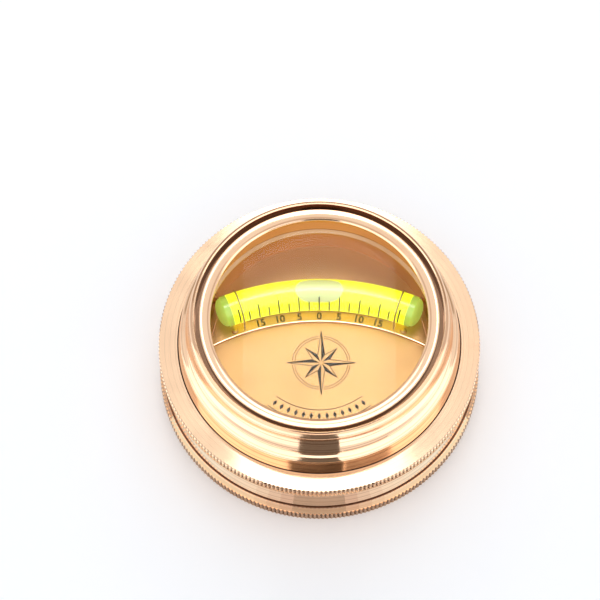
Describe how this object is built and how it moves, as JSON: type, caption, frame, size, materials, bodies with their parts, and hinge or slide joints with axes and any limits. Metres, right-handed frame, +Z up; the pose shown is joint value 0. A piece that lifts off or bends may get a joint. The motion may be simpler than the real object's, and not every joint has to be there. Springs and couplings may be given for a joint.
{
  "type": "inclinometer",
  "caption": "Round desk inclinometer: a bent spirit tube over a degree scale, on a dial inside a turned brass case with a screw-off glazed cover.",
  "frame": {"origin": "on the case's axis, at the table under the foot rim", "axes": "+Z up through the glass along the case's axis, +Y from the dial's middle to the crown of the tube"},
  "size_m": [0.0814, 0.0814, 0.0332],
  "materials": {
    "polished_brass": "turned and polished rose-gold brass",
    "satin_brass": "satin, circular brushed, engraved lines filled black",
    "scale_brass": "satin strip with polished edges",
    "tube_glass": "clear drawn glass",
    "window_glass": "clear flat glass with ground edges",
    "spirit": "fluorescent yellow spirit",
    "air": "air bubble",
    "resin": "yellow-green sealing resin",
    "cement": "pale glazing cement",
    "wire": "fine soft brass binding wire, a little tarnished",
    "steel": "bright steel dowel",
    "rubber": "black rubber",
    "fibre": "dark red-brown vulcanised fibre",
    "card": "waxed card"
  },
  "bodies": {
    "base": {"base_case": "polished_brass", "case_gasket": "fibre", "dial_packing_ring": "card", "dial_locating_pin": "steel", "dial_plate": "satin_brass", "dial_retaining_ring": "polished_brass", "scale_strip": "scale_brass", "scale_rivets": "scale_brass", "vial_tube": "tube_glass", "vial_seal_left": "resin", "vial_seal_right": "resin", "vial_liquid": "spirit", "vial_bed": "cement", "vial_tie_left": "wire", "vial_tie_right": "wire"},
    "glazing": {"crystal_gasket": "rubber", "crystal": "window_glass", "crystal_slip_ring": "fibre"},
    "cover": {"cover_ring": "polished_brass", "glass_bezel": "polished_brass"},
    "bubble": {"vial_bubble": "air"}
  },
  "joints": [
    {"name": "cover_turn", "type": "hinge", "parent": "glazing", "child": "cover", "pos_m": [0, 0, 0.011], "axis": [0, 0, 1], "range_deg": [0, 1080]},
    {"name": "cover_lift", "type": "slide", "parent": "base", "child": "glazing", "axis": [0, 0, 1], "range_m": [0, 0.0045]},
    {"name": "bubble_travel", "type": "hinge", "parent": "base", "child": "bubble", "pos_m": [0, -0.0488, 0.0181], "axis": [0, 0, 1], "range_deg": [-15, 15]}
  ],
  "couplings": [
    {"joint": "cover_lift", "follows": "cover_turn", "m_per_rad": 0.00023873}
  ]
}
